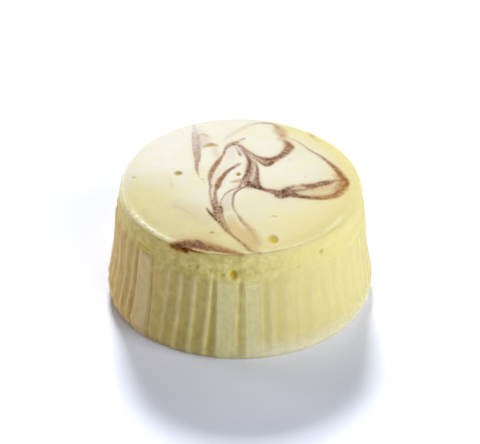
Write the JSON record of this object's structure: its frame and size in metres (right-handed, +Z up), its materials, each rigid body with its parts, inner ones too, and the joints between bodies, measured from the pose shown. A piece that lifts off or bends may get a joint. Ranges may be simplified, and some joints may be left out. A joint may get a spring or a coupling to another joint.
{
  "type": "steamed cake",
  "caption": "Round steamed sponge cake in a pleated greaseproof paper case, with a flat cocoa-streaked top, a fine raised rim and a bare band of sponge above the paper.",
  "frame": {"origin": "centre of the part's footprint, on the surface it stands on", "axes": "+Z up out of the cake's top, -Y towards the viewer in the picture, +X to the viewer's right"},
  "size_m": [0.0876, 0.0882, 0.0408],
  "materials": {
    "sponge": "soft moist sponge, pale cream-yellow with brown cocoa streaks, slightly glossy on top",
    "greaseproof_paper": "thin translucent white greaseproof paper, stained yellow by the sponge behind it"
  },
  "bodies": {
    "root": {"cake": "sponge", "paper_case": "greaseproof_paper"}
  },
  "joints": []
}
